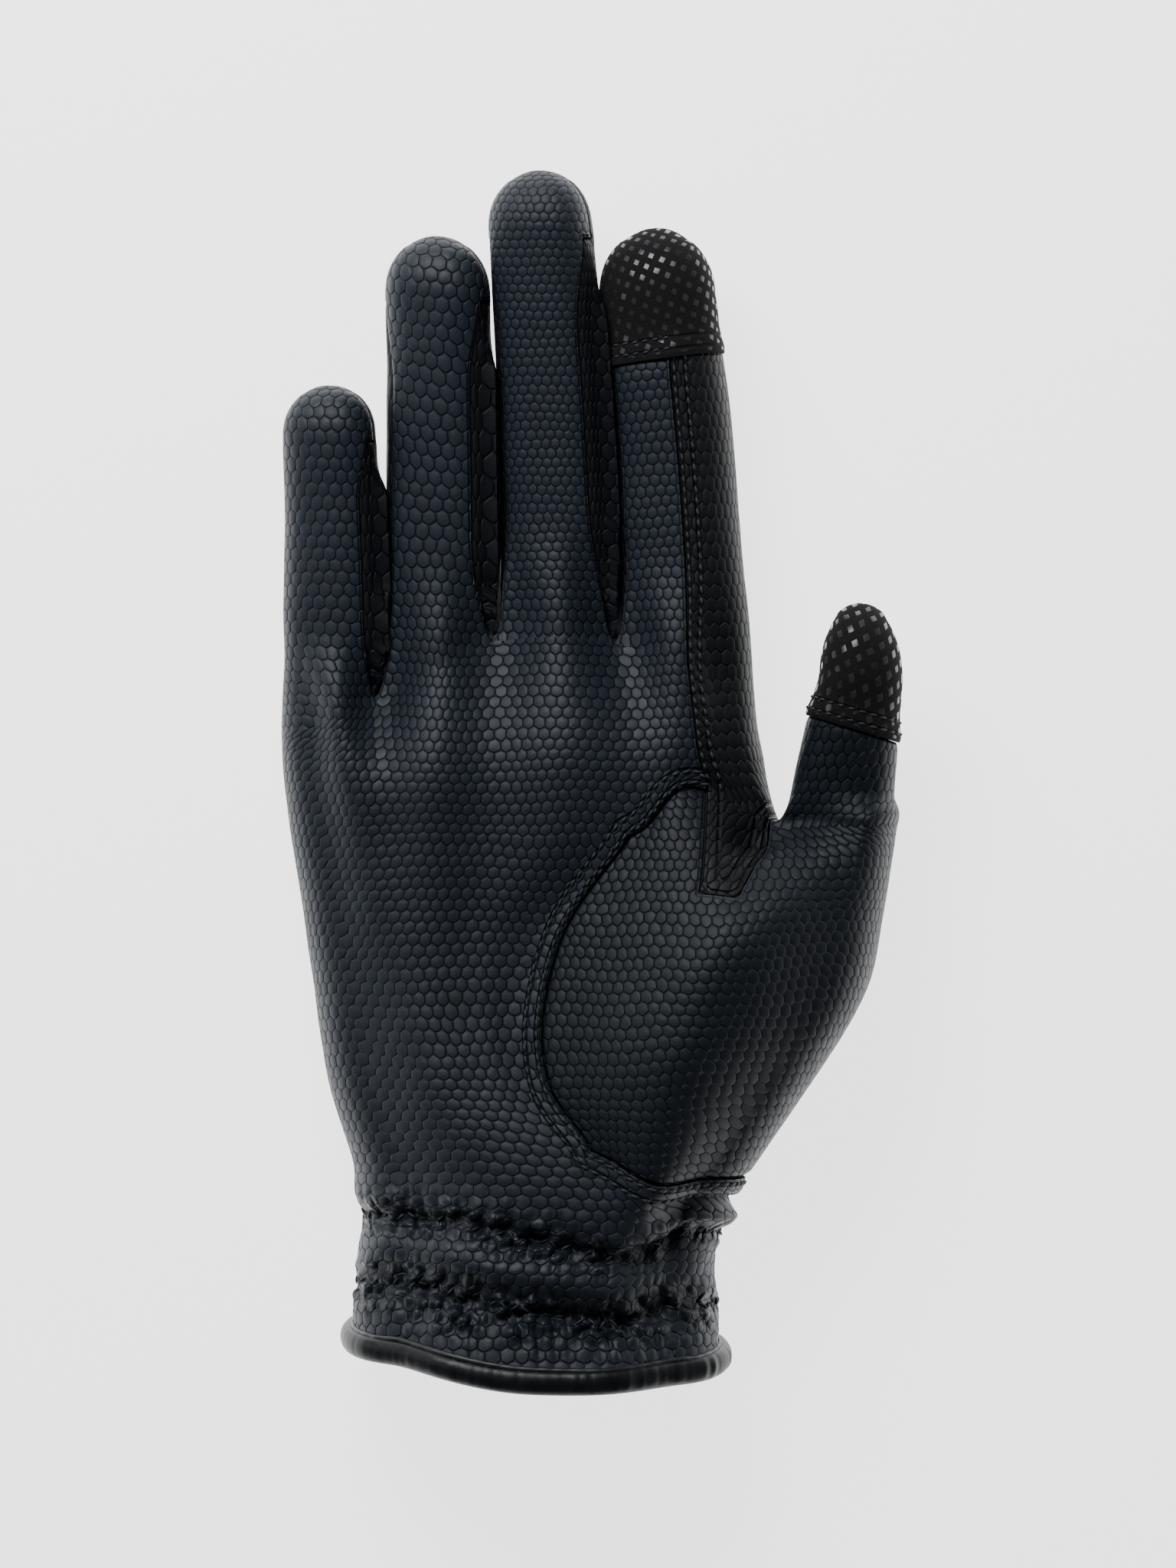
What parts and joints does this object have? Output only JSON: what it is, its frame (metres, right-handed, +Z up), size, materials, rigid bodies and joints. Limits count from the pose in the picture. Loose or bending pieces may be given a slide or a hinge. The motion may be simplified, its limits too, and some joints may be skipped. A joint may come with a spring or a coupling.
{
  "type": "horse riding glove",
  "caption": "Right-hand riding glove of scaled black leather with a gathered wrist and dotted touch tips, lying palm up.",
  "frame": {"origin": "on the flat of the glove's back under the palm, 34 percent of the way from the hem to the middle finger's tip", "axes": "+Z up out of the palm, +Y towards the fingertips, +X towards the thumb"},
  "size_m": [0.1124, 0.2205, 0.0392],
  "materials": {
    "scale_leather": "matt black synthetic leather with a raised scale grain",
    "strip_leather": "matt black synthetic leather with long upright scales",
    "patch_leather": "darker matt synthetic leather with a raised scale grain",
    "touch_fabric": "suede-like fabric with a grid of shiny dots",
    "binding_leather": "smooth satin synthetic leather piping"
  },
  "bodies": {
    "root": {"palm_panel": "scale_leather", "back_panel": "scale_leather", "fourchette_little_ring": "strip_leather", "fourchette_ring_middle": "strip_leather", "fourchette_middle_index": "strip_leather", "thumb_panel": "scale_leather", "index_side_patch": "patch_leather", "index_tip_pad": "touch_fabric", "thumb_tip_pad": "touch_fabric", "cuff_binding": "binding_leather"}
  },
  "joints": []
}
